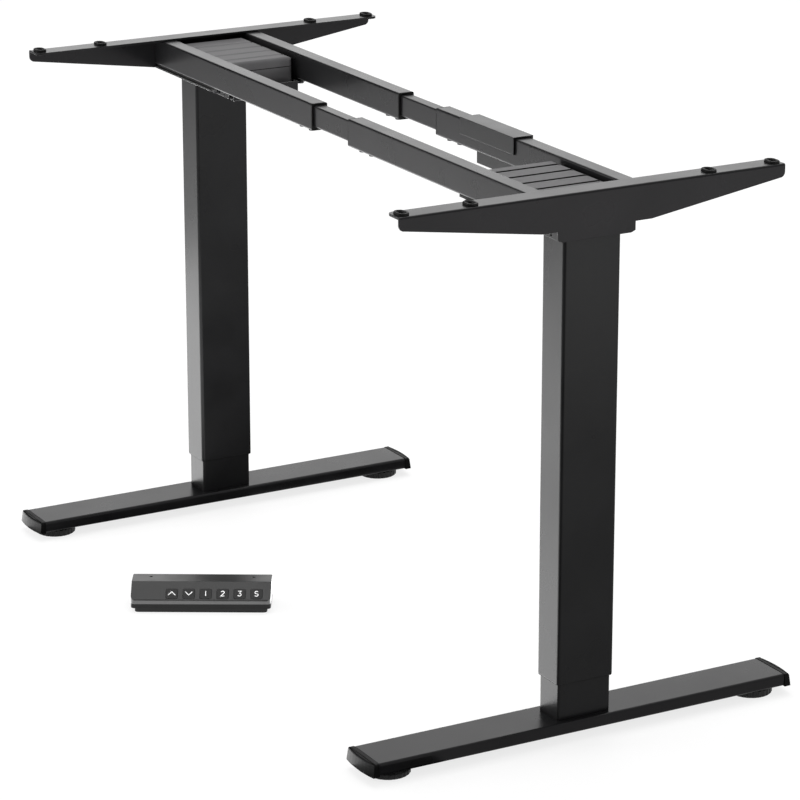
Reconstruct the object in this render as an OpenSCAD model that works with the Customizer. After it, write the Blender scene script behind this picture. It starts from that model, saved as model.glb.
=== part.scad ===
// Height-adjustable desk frame with two motor-driven columns, at its lowest height.
// The origin is on the floor, midway between the columns. X runs from leg to leg,
// Y runs from the user's side to the back, and Z is up.

/* [Frame] */
// Width over the outer faces of the two side brackets
frame_width = 1058; // [980:1:1400]
// Height of the side brackets' top face above the floor
deck_height = 700; // [660:1:800]
// Distance from a bracket's outer face in to the middle of its column
column_inset = 34; // [34:1:44]

/* [Side brackets] */
// Distance from an outer pad's middle to its bracket's tip
pad_margin = 10.5; // [10:0.5:40]
// Width of a bracket's top flange
flange_width = 30; // [28:1:40]
// Thickness of a bracket's top flange
flange_t = 3; // [2:0.5:5]
// Thickness of a bracket's upright web
web_t = 2.5; // [2:0.5:4]
// Height of a bracket at its front and back tips
tip_height = 17; // [12:1:24]

/* [Crossbars and rails] */
// Width of a crossbar tube
bar_w = 23; // [20:1:30]
// Height of a crossbar tube
bar_h = 36; // [30:1:44]
// Wall of a crossbar tube
bar_wall = 1.5; // [1.2:0.1:2.5]
// Gap between the mouths of the left and right crossbars
mouth_gap = 103; // [80:1:200]
// Distance between the middles of the front and rear crossbars
bar_spacing = 130; // [130:1:150]
// Distance from a bracket's outer face in to the end of a rail
rail_inset = 101; // [95:1:200]
// Wall of a rail
rail_wall = 1.5; // [1.2:0.1:2.5]

/* [Columns] */
// Width of the outer tube along X
outer_w = 50; // [46:1:60]
// Depth of the outer tube along Y
outer_d = 80; // [70:1:90]
// Wall of the column tubes
tube_wall = 1.5; // [1.2:0.1:2.5]
// Outer radius of the outer tube's corners
tube_corner = 4; // [3:0.5:6]
// Gap between the outer tube's inside and the inner tube
tube_gap = 1; // [0.8:0.1:2]
// Height of the outer tube's lower end above the floor at the lowest height
outer_bottom = 76; // [60:1:100]
// Length of inner tube that stays inside the outer tube at full height
tube_overlap = 101; // [80:1:150]
// Diameter of the drive spindle
spindle_d = 12; // [10:1:14]

/* [Feet] */
// Length of a foot's steel tube
foot_length = 588; // [500:1:700]
// Width of a foot's tube
foot_w = 66; // [60:1:80]
// Height of a foot's tube
foot_h = 16; // [14:1:24]
// Wall of a foot's tube
foot_wall = 2; // [1.5:0.1:2.5]
// Length of a foot's end cap beyond the tube
cap_length = 13; // [12:1:24]
// Diameter of a levelling foot's disc
leveller_d = 56; // [40:1:62]
// Thickness of a levelling foot's disc
leveller_t = 9.5; // [8:0.5:12]
// Distance from the middle of the foot to a levelling foot
leveller_reach = 265; // [200:1:268]

/* [Head] */
// Depth of the head tray below the crossbar flanges
tray_depth = 13.5; // [12:0.5:20]
// Sheet thickness of the head tray
tray_t = 2; // [1.5:0.1:2.5]
// Thickness of the rubber strips under the crossbars
damper_t = 3.5; // [3:0.5:6]
// Diameter of the motor's can
motor_d = 40; // [34:1:42]
// Length of the motor's can
motor_length = 106; // [80:1:112]
// Length of the plastic motor cover
cover_length = 150; // [144:1:156]
// Height of the cover's top below the top of the crossbars
cover_drop = 5.5; // [4:0.5:10]
// Wall of the plastic motor cover
cover_wall = 2.2; // [1.8:0.1:3]

/* [Desktop fixings] */
// Distance between the outer pads, front to back
pad_span_outer = 516; // [460:1:536]
// Distance between the inner pads, front to back
pad_span_inner = 332; // [240:1:400]
// Length of a fixing slot
slot_length = 12; // [10:1:18]
// Width of a fixing slot
slot_width = 6; // [5:0.5:7]
// Thickness of the rubber pads
pad_t = 3; // [2:0.5:6]

/* [Control box] */
// Length of the control box along the rear crossbar
box_length = 134; // [110:1:160]
// Height of the control box's body
box_h = 45; // [38:1:60]
// Depth of the control box's body behind the crossbar
box_d = 31; // [26:1:40]

/* [Handset] */
// Width of the handset
handset_w = 190; // [184:1:240]
// Depth of the handset from its front edge to its back
handset_d = 56; // [54:1:80]
// Height of the handset's front edge
handset_front_h = 18; // [16:1:24]
// Slope of the key panel from the horizontal, in degrees
panel_slope = 35; // [25:1:40]
// Length of the key panel along its slope
panel_length = 31; // [28:1:34]
// Size of a square key
key_size = 15.5; // [12:0.5:17]
// Distance between the middles of two keys
key_pitch = 23; // [20:1:23]

/* [Hidden] */
$fn = 48;

// Running clearances and cuts
slip = 0.2;            // sliding fit of a flat piece
thread_gap = 0.1;      // radial gap of a screw in its thread
hole_gap = 0.2;        // radial gap of a screw in a plain hole
spindle_gap = 0.08;    // radial gap of the spindle in its nut and gearbox
cut = 1;               // how far a cut runs past the face that it opens

// Finishes
steel = "#3b3b3d";
plastic = "#4a4a4c";
rubber = "#161616";
bright = "#8d8f92";

// Heights of the frame, from the desktop plane down to the floor
bar_top = deck_height - flange_t;
bar_bottom = bar_top - bar_h;
lug_top = bar_bottom - damper_t;
lug_bottom = lug_top - tray_t;
tray_bottom = lug_bottom - tray_depth;
column_top = tray_bottom;
tray_floor = tray_bottom + tray_t;
bracket_length = pad_span_outer + 2 * pad_margin;
bar_y = bar_spacing / 2;
bar_inner_y = bar_y - bar_w / 2;
web_x = frame_width / 2 - web_t;
column_x = frame_width / 2 - column_inset;
mouth_x = mouth_gap / 2;
bar_length = web_x - mouth_x;
rail_length = frame_width - 2 * rail_inset;

// Foot and levelling feet
foot_corner = 3.5;
foot_rise = 2;         // gap from a levelling disc up to the foot
foot_bottom = leveller_t + foot_rise;
foot_top = foot_bottom + foot_h;
flute_count = 24;
flute_r = 2.4;
flute_depth = 1.6;
disc_edge = 1.2;
hex_w = 15;
hex_gap = 0.3;
stud_r = 4;
stud_top = foot_top - foot_wall - hex_gap;
insert_r = 7;
insert_h = 6;
cap_plug = 14;
cap_plug_gap = 0.15;
cap_flare_top = 0.3;
cap_flare_bottom = 1.5;
cap_bow = 3.5;
cap_draft = 2;
cap_corner = 4;
cap_lip = 0.2;
cap_seam = 0.8;
cap_facets = 32;

// Column tubes and what is in them
inner_w = outer_w - 2 * (tube_wall + tube_gap);
inner_d = outer_d - 2 * (tube_wall + tube_gap);
inner_corner = tube_corner - tube_gap;
head_room = 15;
inner_top = column_top - head_room;
stroke = inner_top - outer_bottom - tube_overlap;
plate_t = 3;
base_plate_t = 6;
nut_h = 24;
nut_cap_t = 1;
bush_t = tube_gap - slip;
bush_h = 60;
bush_lip = 1.2;
bush_lip_inset = 0.5;
spindle_r = spindle_d / 2;
spindle_hole_r = 14;
stop_margin = 13;
spindle_foot = inner_top - nut_h - stroke - stop_margin;
stop_r = 9;
stop_h = 6;
collar_r = 11;
collar_rise = 1;
collar_gap = 0.3;
spindle_in_gearbox = 18;
spindle_lead_in = 1.5;

// Bolts
m6_r = 3;
m6_head_r = 5;
m6_head_h = 4;
m5_r = 2.5;
m5_head_r = 4.2;
m5_head_h = 3.5;
socket_share = 0.55;   // width of a socket against its head
foot_bolt_x = 13;
foot_bolt_y = 26;
access_r = 7;
gear_bolt_x = 18;
gear_bolt_y = 32;
clamp_bolt_far = 23;   // from the bracket's outer face to a crossbar bolt
clamp_bolt_near = 176;
lock_near = 18;        // from a crossbar's mouth to its first lock screw
lock_step = 26;

// Head tray, which follows the column head's stepped outline
tray_w = 108;
lug_w = 23;
tray_chamfer = 5.7;
tray_chamfer_h = 2.5;
tray_end = 198;        // from the bracket's outer face in to the tray's end
wall_setback = 8;      // from the tray's end to the end of its side walls
lug_setback = 18;      // from the tray's end to the end of its flanges
tray_end_h = 18;
tray_end_inset = 4;
damper_end = 196;
damper_inset = 1.5;
side_hole_r = 1.8;
side_hole_h = 6.3;
side_hole_far = 16.5;
side_hole_near = 176;

// Motor and gearbox
wheel_housing_r = 26;
wheel_housing_h = 36;
gear_ear_w = 50;
gear_ear_d = 76;
gear_ear_t = 5;
gear_ear_corner = 5;
worm_w = 40;
worm_h = 35;
worm_corner = 4;
worm_reach_in = 27;
worm_reach_out = 26;
motor_offset = 14;
motor_lift = 1;        // from the tray's floor up to the motor can
motor_edge = 2;
motor_neck_r = 9;
motor_neck_l = 4;

// Motor cover
cover_gap_y = 4;       // gap from the cover to the crossbars
cover_start = 34;      // from the bracket's outer face in to the cover
cover_top = bar_top - cover_drop;
cover_lid_h = 12.7;
cover_seam = cover_top - cover_lid_h;
cover_edge = 6;
cover_corner = 7;
groove_run = 8;
groove_depth = 1.5;
groove_pitch = 31.5;
groove_count = 4;
groove_start = 19.5;
groove_margin = 5;
tongue_h = 2;
tongue_t = 1;
cover_y = bar_inner_y - cover_gap_y;

// Crossbars, rails and side brackets
bar_corner = 2.5;
rail_slip = 0.3;
rail_corner = 2;
glide_l = 64;
glide_h = 3.2;         // floor of a glide sleeve under its rail
sleeve_t = 1;
collar_t = 2;
rail_w = bar_w - 2 * (bar_wall + slip + sleeve_t + rail_slip);
rail_top = bar_top - bar_wall - slip - sleeve_t - rail_slip;
rail_h = rail_top - rail_slip - glide_h - bar_wall - bar_bottom;
insert_bar_r = 6;
insert_bar_h = glide_h - slip;
bracket_fold = 2.5;
bracket_corner = 8;
tip_corner = 7;
pad_l = 22;
pad_w = 15;
pad_dish = 0.8;
pad_rim = 3;
pad_x = frame_width / 2 - flange_width / 2 + 0.5 * web_t;
pad_edge = 0.6;

// Control box
box_start = 64.5;      // from the rear crossbar's mouth to the box
hook_t = 2.2;
hook_gap = 0.2;
hook_drop = 22.5;
hook_back_t = 3;
box_drop = 25.5;       // from the crossbar's bottom down to the box's bottom
box_corner = 4;
box_split_share = 0.5;
jack_w = 12;
jack_d = 9;
jack_depth = 10;
jack_step = 18;

// Handset
handset_place = [-120, -214, 0];
handset_turn = 60;
base_h = 6;
base_inset = 5;
base_front_inset = 2;
shell_wall = 2.2;
handset_corner = 5.5;
handset_edge = 2.5;
panel_run = panel_length * cos(panel_slope);
panel_rise = panel_length * sin(panel_slope);
handset_h = handset_front_h + panel_rise;
key_count = 6;
key_from_edge = 10.5;  // from the panel's lower edge up to the keys' middle
key_from_right = 19.5; // from the handset's right end to the last key's middle
key_gap = 0.3;
key_proud = 0.4;
key_corner = 2;
key_skirt = 0.9;
key_skirt_t = 1.2;
key_stem_r = 2.5;
key_stem_l = 2;
key_travel = 0.8;
board_t = 1.6;
board_w = 20;
board_left = 62;       // from the handset's middle to the board's ends
board_right = 91;
board_post_r = 2.5;
board_post_inset = 3.5;
board_depth = shell_wall + slip + key_skirt_t + key_stem_l + key_travel + hex_gap;
fix_hole_r = 2.25;
fix_hole_x = 70;
fix_hole_y = 15;

// Side of the frame: 1 is the right leg, -1 its mirror image on the left
module leg_side(side) { mirror([side < 0 ? 1 : 0, 0, 0]) children(); }

// Rounded rectangle about the origin
module rounded_rect(w, d, r) {
    square([w - 2 * r, d], center = true);
    square([w, d - 2 * r], center = true);
    for (x = [-1, 1], y = [-1, 1])
        translate([x * (w / 2 - r), y * (d / 2 - r)]) circle(r = r);
}

// Slot about the origin, along X
module slot_shape(length, width) {
    square([length - width, width], center = true);
    for (x = [-1, 1]) translate([x * (length - width) / 2, 0]) circle(d = width);
}

// Rectangular tube standing on z = 0
module tube(w, d, r, wall, h) {
    linear_extrude(h) difference() {
        rounded_rect(w, d, r);
        rounded_rect(w - 2 * wall, d - 2 * wall, r - wall);
    }
}

// Hole along Z between two heights
module bore_z(r, z0, z1) { translate([0, 0, z0]) cylinder(r = r, h = z1 - z0); }

// Cap screw pointing up: the head's underside is at z = 0, the shank above it
module cap_screw(r, head_r, head_h, length) {
    difference() {
        union() {
            cylinder(r = r, h = length);
            translate([0, 0, -head_h]) cylinder(r = head_r, h = head_h);
        }
        translate([0, 0, -head_h - cut])
            cylinder(r = head_r * socket_share, h = head_h * socket_share + cut, $fn = 6);
    }
}

module at_foot_bolts() {
    for (x = [-1, 1], y = [-1, 1])
        translate([column_x + x * foot_bolt_x, y * foot_bolt_y, 0]) children();
}

module at_gear_bolts() {
    for (x = [-1, 1], y = [-1, 1])
        translate([column_x + x * gear_bolt_x, y * gear_bolt_y, 0]) children();
}

// Places of the bolts that hold one crossbar on the head tray
module at_clamp_bolts() {
    for (inset = [clamp_bolt_far, clamp_bolt_near])
        translate([frame_width / 2 - inset, 0, 0]) children();
}

// Places of the lock screws under one crossbar's mouth
module at_lock_screws() {
    for (i = [0, 1]) translate([mouth_x + lock_near + i * lock_step, 0, 0]) children();
}

module foot_tube() {
    color(steel) difference() {
        union() {
            translate([column_x, foot_length / 2, foot_bottom + foot_h / 2])
                rotate([90, 0, 0]) tube(foot_w, foot_h, foot_corner, foot_wall, foot_length);
            for (y = [-1, 1]) translate([column_x, y * leveller_reach, 0])
                bore_z(insert_r, foot_bottom + foot_wall, foot_bottom + foot_wall + insert_h);
        }
        for (y = [-1, 1]) translate([column_x, y * leveller_reach, 0])
            bore_z(stud_r + thread_gap, foot_bottom - cut, foot_top - foot_wall);
        at_foot_bolts() {
            bore_z(m6_r + hole_gap, foot_top - foot_wall - cut, foot_top + cut);
            bore_z(access_r, foot_bottom - cut, foot_bottom + foot_wall + cut);
        }
    }
}

// Outline of an end cap seen from above, its bowed end outward
module cap_outline(flare, reach) {
    w = foot_w + 2 * flare;
    bow_r = (w * w / 4 + cap_bow * cap_bow) / (2 * cap_bow);
    intersection() {
        translate([0, -cut]) rounded_rect(w, 2 * (reach + cut), cap_corner, $fn = cap_facets);
        translate([-w / 2, 0]) square([w, reach + cut]);
        translate([0, reach - bow_r]) circle(r = bow_r, $fn = 4 * cap_facets);
    }
}

// End cap: a flared, bowed nose, a neck that leaves a seam, and a plug in the tube
module foot_cap(end) {
    mirror([0, end < 0 ? 1 : 0, 0]) translate([column_x, foot_length / 2, 0]) {
        color(plastic) translate([0, cap_seam, 0]) hull() {
            translate([0, 0, foot_bottom - cap_lip])
                linear_extrude(cap_lip) cap_outline(cap_flare_bottom, cap_length - cap_seam);
            translate([0, 0, foot_top]) linear_extrude(cap_lip)
                cap_outline(cap_flare_top, cap_length - cap_seam - cap_draft);
        }
        color(plastic) translate([0, cap_seam + cut, foot_bottom + foot_h / 2]) rotate([90, 0, 0])
            linear_extrude(cap_seam + cut)
                rounded_rect(foot_w - 2 * cap_seam, foot_h - 2 * cap_seam, foot_corner - cap_seam);
        color(plastic) translate([0, 0, foot_bottom + foot_h / 2]) rotate([90, 0, 0])
            linear_extrude(cap_plug) rounded_rect(
                foot_w - 2 * (foot_wall + cap_plug_gap),
                foot_h - 2 * (foot_wall + cap_plug_gap),
                foot_corner - foot_wall);
    }
}

// Levelling foot: a fluted disc on a threaded stud with a wrench collar
module leveller(end) {
    translate([column_x, end * leveller_reach, 0]) color(rubber) {
        difference() {
            rotate_extrude($fn = 96) polygon([
                [0, 0], [leveller_d / 2 - disc_edge, 0], [leveller_d / 2, disc_edge],
                [leveller_d / 2, leveller_t - disc_edge],
                [leveller_d / 2 - disc_edge, leveller_t], [0, leveller_t]]);
            for (i = [0 : flute_count - 1]) rotate(i * 360 / flute_count)
                translate([leveller_d / 2 + flute_r - flute_depth, 0, -cut])
                    cylinder(r = flute_r, h = leveller_t + 2 * cut, $fn = 24);
        }
        translate([0, 0, leveller_t])
            cylinder(d = hex_w, h = foot_rise - hex_gap, $fn = 6);
        bore_z(stud_r, leveller_t, stud_top);
    }
}

module foot_bolts() {
    color(bright) at_foot_bolts() translate([0, 0, foot_top - foot_wall])
        cap_screw(m6_r, m6_head_r, m6_head_h, foot_wall + base_plate_t);
}

module column_inner() {
    color(steel) difference() {
        translate([column_x, 0, foot_top]) {
            tube(inner_w, inner_d, inner_corner, tube_wall, inner_top - foot_top);
            linear_extrude(base_plate_t) rounded_rect(inner_w, inner_d, inner_corner);
        }
        at_foot_bolts() bore_z(m6_r + thread_gap, foot_top - cut, foot_top + base_plate_t + cut);
    }
}

// Nut block in the top of the inner tube, with a guide flange that rides in the outer tube
module spindle_nut() {
    plug_w = inner_w - 2 * (tube_wall + slip);
    plug_d = inner_d - 2 * (tube_wall + slip);
    guide_w = outer_w - 2 * (tube_wall + slip);
    guide_d = outer_d - 2 * (tube_wall + slip);
    color(plastic) difference() {
        union() {
            translate([column_x, 0, inner_top - nut_h])
                linear_extrude(nut_h) rounded_rect(plug_w, plug_d, inner_corner - tube_wall);
            translate([column_x, 0, inner_top])
                linear_extrude(nut_cap_t) rounded_rect(guide_w, guide_d, tube_corner - tube_wall);
        }
        translate([column_x, 0, 0])
            bore_z(spindle_r + spindle_gap, inner_top - nut_h - cut, inner_top + nut_cap_t + cut);
    }
}

module column_outer() {
    color(steel) difference() {
        translate([column_x, 0, outer_bottom]) {
            tube(outer_w, outer_d, tube_corner, tube_wall, column_top - outer_bottom);
            translate([0, 0, column_top - outer_bottom - plate_t])
                linear_extrude(plate_t) rounded_rect(outer_w, outer_d, tube_corner);
        }
        translate([column_x, 0, 0])
            bore_z(spindle_hole_r, column_top - plate_t - cut, column_top + cut);
        at_gear_bolts() bore_z(m5_r + thread_gap, column_top - plate_t - cut, column_top + cut);
    }
}

// Plastic liner in the outer tube's lower end, with a lip under the tube
module guide_bush() {
    ring_w = outer_w - 2 * tube_wall;
    ring_d = outer_d - 2 * tube_wall;
    color(rubber) translate([column_x, 0, outer_bottom - bush_lip]) {
        tube(ring_w, ring_d, tube_corner - tube_wall, bush_t, bush_h);
        tube(outer_w - 2 * bush_lip_inset, outer_d - 2 * bush_lip_inset,
             tube_corner - bush_lip_inset, tube_wall + bush_t - bush_lip_inset, bush_lip);
    }
}

// Drive spindle with its thrust collar under the column's top plate and its end stop
module spindle() {
    top = tray_floor + spindle_in_gearbox;
    color(bright) translate([column_x, 0, 0]) {
        bore_z(spindle_r, spindle_foot, top - spindle_lead_in);
        translate([0, 0, top - spindle_lead_in])
            cylinder(r1 = spindle_r, r2 = spindle_r - spindle_lead_in, h = spindle_lead_in);
        bore_z(stop_r, spindle_foot, spindle_foot + stop_h);
        bore_z(collar_r, inner_top + nut_cap_t + collar_rise, column_top - plate_t - collar_gap);
    }
}

// Points on one side of Z, followed by their mirror images in reverse order
function both_sides(points) = concat(
    points, [for (i = [len(points) - 1 : -1 : 0]) [-points[i][0], points[i][1]]]);

// Chamfered lower corner of the column head, drawn in by the sheet's thickness
function head_corner(t) = [
    [tray_w / 2 - tray_chamfer - t, tray_bottom + t],
    [tray_w / 2 - t, tray_bottom + tray_chamfer_h + t]
];

// Head tray: formed sheet with a flat bottom, two side walls and outward flanges
module head_tray() {
    out = head_corner(0);
    in = head_corner(tray_t);
    edge = tray_w / 2 + lug_w;
    start = frame_width / 2 - tray_end;
    color(steel) difference() {
        union() {
            translate([start, 0, 0]) rotate([90, 0, 90]) linear_extrude(tray_end - web_t)
                polygon(both_sides([
                    out[0], out[1], [out[1][0], lug_bottom], [edge, lug_bottom],
                    [edge, lug_top], [in[1][0], lug_top], in[1], in[0]]));
            translate([start, -tray_w / 2 + tray_end_inset, tray_bottom])
                cube([tray_t, tray_w - 2 * tray_end_inset, tray_end_h]);
        }
        for (s = [-1, 1]) {
            translate([start - cut, s < 0 ? -edge - cut : tray_w / 2 - tray_end_inset,
                       tray_bottom - cut])
                cube([wall_setback + cut, lug_w + tray_end_inset + cut,
                      tray_end_h + 2 * cut]);
            translate([start - cut, s < 0 ? -edge - cut : tray_w / 2, tray_bottom - cut])
                cube([lug_setback + cut, lug_w + cut, tray_end_h + 2 * cut]);
        }
        translate([column_x, 0, 0]) bore_z(spindle_hole_r, tray_bottom - cut, tray_floor + cut);
        at_gear_bolts() bore_z(m5_r + hole_gap, tray_bottom - cut, tray_floor + cut);
        for (s = [-1, 1]) translate([0, s * bar_y, 0])
            at_clamp_bolts() bore_z(m6_r + hole_gap, lug_bottom - cut, lug_top + cut);
        for (inset = [side_hole_far, side_hole_near])
            translate([frame_width / 2 - inset, 0, tray_bottom + side_hole_h])
                rotate([90, 0, 0]) cylinder(r = side_hole_r, h = tray_w + 2 * cut, center = true);
    }
}

module damper_strips() {
    color(rubber) for (s = [-1, 1]) difference() {
        translate([frame_width / 2 - damper_end, s * bar_y - bar_w / 2 + damper_inset, lug_top])
            cube([damper_end - web_t - collar_gap, bar_w - 2 * damper_inset, damper_t]);
        translate([0, s * bar_y, 0])
            at_clamp_bolts() bore_z(m6_r + hole_gap, lug_top - cut, bar_bottom + cut);
    }
}

// Worm gearbox on four ears over the column
module gearbox() {
    color(plastic) difference() {
        union() {
            translate([column_x, 0, tray_floor])
                linear_extrude(gear_ear_t) rounded_rect(gear_ear_w, gear_ear_d, gear_ear_corner);
            translate([column_x, 0, 0])
                bore_z(wheel_housing_r - cut, tray_floor, tray_floor + wheel_housing_h);
            translate([column_x - worm_reach_in, motor_offset, motor_axis_z()])
                rotate([90, 0, 90]) linear_extrude(worm_reach_in + worm_reach_out)
                    rounded_rect(worm_w, worm_h, worm_corner);
        }
        translate([column_x, 0, 0])
            bore_z(spindle_r + spindle_gap, tray_floor - cut,
                   tray_floor + spindle_in_gearbox + collar_gap);
        at_gear_bolts() bore_z(m5_r + hole_gap, tray_floor - cut, tray_floor + gear_ear_t + cut);
        at_gear_bolts() bore_z(m5_head_r + hole_gap, tray_floor + gear_ear_t,
                               tray_floor + wheel_housing_h + cut);
    }
}

function motor_axis_z() = tray_floor + motor_lift + motor_d / 2;

module motor() {
    r = motor_d / 2;
    color(bright) translate([column_x - worm_reach_in, motor_offset, motor_axis_z()])
        rotate([0, -90, 0]) rotate_extrude($fn = 64) polygon([
            [0, 0], [r - motor_edge, 0], [r, motor_edge], [r, motor_length - motor_edge],
            [r - motor_edge, motor_length], [motor_neck_r, motor_length],
            [motor_neck_r, motor_length + motor_neck_l], [0, motor_length + motor_neck_l]]);
}

// Solid form of the motor cover, drawn in by a wall; the end at the column stays open
module cover_form(inset) {
    x0 = frame_width / 2 - cover_start - cover_length + inset;
    x1 = frame_width / 2 - cover_start + (inset > 0 ? cut : 0);
    half_y = cover_y - inset;
    r_top = cover_edge - inset / 2;
    r_plan = cover_corner - inset / 2;
    z1 = cover_top - inset;
    intersection() {
        translate([x0, 0, tray_floor - cut]) linear_extrude(z1 - tray_floor + cut) {
            translate([r_plan, -half_y]) square([x1 - x0 - r_plan, 2 * half_y]);
            translate([0, r_plan - half_y]) square([x1 - x0, 2 * (half_y - r_plan)]);
            for (s = [-1, 1]) translate([r_plan, s * (half_y - r_plan)]) circle(r = r_plan);
        }
        translate([x0, 0, 0]) rotate([90, 0, 90]) linear_extrude(x1 - x0) {
            translate([-half_y, tray_floor - cut])
                square([2 * half_y, z1 - tray_floor + cut - r_top]);
            translate([r_top - half_y, tray_floor])
                square([2 * (half_y - r_top), z1 - tray_floor]);
            for (s = [-1, 1]) translate([s * (half_y - r_top), z1 - r_top]) circle(r = r_top);
        }
        translate([0, half_y, 0]) rotate([90, 0, 0]) linear_extrude(2 * half_y) {
            translate([x0, tray_floor - cut]) square([x1 - x0, z1 - tray_floor + cut - r_top]);
            translate([x0 + r_top, tray_floor]) square([x1 - x0 - r_top, z1 - tray_floor]);
            translate([x0 + r_top, z1 - r_top]) circle(r = r_top);
        }
    }
}

// Everything between two heights, for cutting the cover at its seam
module cover_slab(z0, z1) {
    x0 = frame_width / 2 - cover_start - cover_length - cut;
    translate([x0, -bar_y, z0]) cube([cover_length + 2 * cut, 2 * bar_y, z1 - z0]);
}

module motor_cover_base() {
    in = head_corner(tray_t);
    color(plastic) difference() {
        intersection() {
            cover_form(0);
            translate([frame_width / 2 - tray_end, 0, 0]) rotate([90, 0, 90])
                linear_extrude(tray_end)
                    polygon(both_sides([in[0], in[1], [in[1][0], cover_seam]]));
        }
        cover_form(cover_wall);
    }
}

module motor_cover_top() {
    x0 = frame_width / 2 - cover_start - cover_length;
    color(plastic) difference() {
        union() {
            intersection() {
                cover_form(0);
                cover_slab(cover_seam, cover_top + cut);
            }
            intersection() {
                cover_form(cover_wall + slip);
                cover_slab(cover_seam - tongue_h, cover_seam + cut);
            }
        }
        cover_form(cover_wall + slip + tongue_t);
        intersection() {
            cover_form(cover_wall);
            cover_slab(cover_seam + cut, cover_top);
        }
        for (i = [0 : groove_count - 1])
            translate([x0 + groove_start + i * groove_pitch, cover_y - groove_margin, cover_top])
                rotate([90, 0, 0]) linear_extrude(2 * (cover_y - groove_margin))
                    polygon([[0, cut], [0, -groove_depth],
                             [groove_run * (1 + cut / groove_depth), cut]]);
    }
}

// Crossbar tube with weld inserts for the clamp bolts
module crossbar(end) {
    color(steel) translate([0, end * bar_y, 0]) difference() {
        union() {
            translate([mouth_x, 0, bar_bottom + bar_h / 2]) rotate([90, 0, 90])
                tube(bar_w, bar_h, bar_corner, bar_wall, bar_length);
            at_clamp_bolts() bore_z(insert_bar_r, bar_bottom + bar_wall,
                                    bar_bottom + bar_wall + insert_bar_h);
        }
        at_clamp_bolts() bore_z(m6_r + thread_gap, bar_bottom - cut,
                                bar_bottom + bar_wall + insert_bar_h + cut);
        at_lock_screws() bore_z(m6_r + thread_gap, bar_bottom - cut, bar_bottom + bar_wall + cut);
    }
}

// Plastic sleeves in the crossbars' mouths that carry the rails, with a collar on the end
module rail_glides() {
    w = bar_w - 2 * (bar_wall + slip);
    low = bar_bottom + bar_wall;
    high = bar_top - bar_wall - slip;
    color(rubber) for (s = [-1, 1]) translate([0, s * bar_y, 0]) difference() {
        union() {
            translate([mouth_x, 0, (low + high) / 2]) rotate([90, 0, 90])
                linear_extrude(glide_l) rounded_rect(w, high - low, bar_corner - bar_wall);
            translate([mouth_x - collar_t, 0, bar_bottom + bar_h / 2]) rotate([90, 0, 90])
                linear_extrude(collar_t) rounded_rect(bar_w, bar_h, bar_corner);
        }
        translate([mouth_x - collar_t - cut, 0, rail_top - rail_h / 2]) rotate([90, 0, 90])
            linear_extrude(glide_l + collar_t + 2 * cut)
                rounded_rect(rail_w + 2 * rail_slip, rail_h + 2 * rail_slip, rail_corner);
        at_lock_screws() bore_z(m6_r + thread_gap, bar_bottom, rail_top - rail_h);
    }
}

// Inner rail, a closed tube along X that joins the two sides
module rail(end) {
    color(steel) translate([-rail_length / 2, end * bar_y, rail_top - rail_h / 2])
        rotate([90, 0, 90]) tube(rail_w, rail_h, rail_corner, rail_wall, rail_length);
}

// Side outline of a bracket, from tip to tip over the column head
module bracket_side() {
    tip_y = bracket_length / 2;
    tip_z = deck_height - tip_height;
    out = head_corner(0);
    shelf = tray_w / 2 + lug_w;
    polygon(both_sides([
        out[0], out[1], [tray_w / 2, lug_bottom], [shelf, lug_bottom],
        [tip_y - tip_corner, tip_z], [tip_y - tip_corner, tip_z + tip_corner],
        [tip_y, tip_z + tip_corner], [tip_y, deck_height]]));
    for (s = [-1, 1])
        translate([s * (tip_y - tip_corner), tip_z + tip_corner]) circle(r = tip_corner);
}

// Cross-section of a bracket: a top flange folded down into the web
module bracket_section() {
    x1 = frame_width / 2;
    big = 2 * (deck_height - tray_bottom);
    intersection() {
        union() {
            translate([x1 - flange_width, bar_top]) square([flange_width, flange_t]);
            translate([web_x, tray_bottom]) square([web_t, deck_height - tray_bottom]);
        }
        translate([x1 - big / 2, deck_height - big / 2]) rounded_rect(big, big, bracket_fold);
    }
}

module bracket_plan() {
    w = 2 * flange_width;
    translate([frame_width / 2, 0]) rounded_rect(w, bracket_length, bracket_corner);
}

// Places of one side's desktop pads
module at_pads() {
    for (span = [pad_span_outer, pad_span_inner], s = [-1, 1])
        translate([pad_x, s * span / 2, 0]) children();
}

module side_bracket() {
    color(steel) difference() {
        intersection() {
            translate([0, bracket_length / 2, 0]) rotate([90, 0, 0])
                linear_extrude(bracket_length) bracket_section();
            translate([frame_width / 2 - flange_width, 0, 0]) rotate([90, 0, 90])
                linear_extrude(flange_width) bracket_side();
            translate([0, 0, tray_bottom])
                linear_extrude(deck_height - tray_bottom) bracket_plan();
        }
        at_pads() translate([0, 0, bar_top - cut])
            linear_extrude(flange_t + 2 * cut) slot_shape(slot_length, slot_width);
    }
}

// Dished rubber pads round the fixing slots
module desktop_pads() {
    color(rubber) at_pads() translate([0, 0, deck_height]) difference() {
        union() {
            linear_extrude(pad_t - pad_edge) slot_shape(pad_l, pad_w);
            linear_extrude(pad_t) slot_shape(pad_l - 2 * pad_edge, pad_w - 2 * pad_edge);
        }
        translate([0, 0, pad_t - pad_dish])
            linear_extrude(pad_dish + cut) slot_shape(pad_l - 2 * pad_rim, pad_w - 2 * pad_rim);
        translate([0, 0, -cut])
            linear_extrude(pad_t + 2 * cut) slot_shape(slot_length, slot_width);
    }
}

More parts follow.
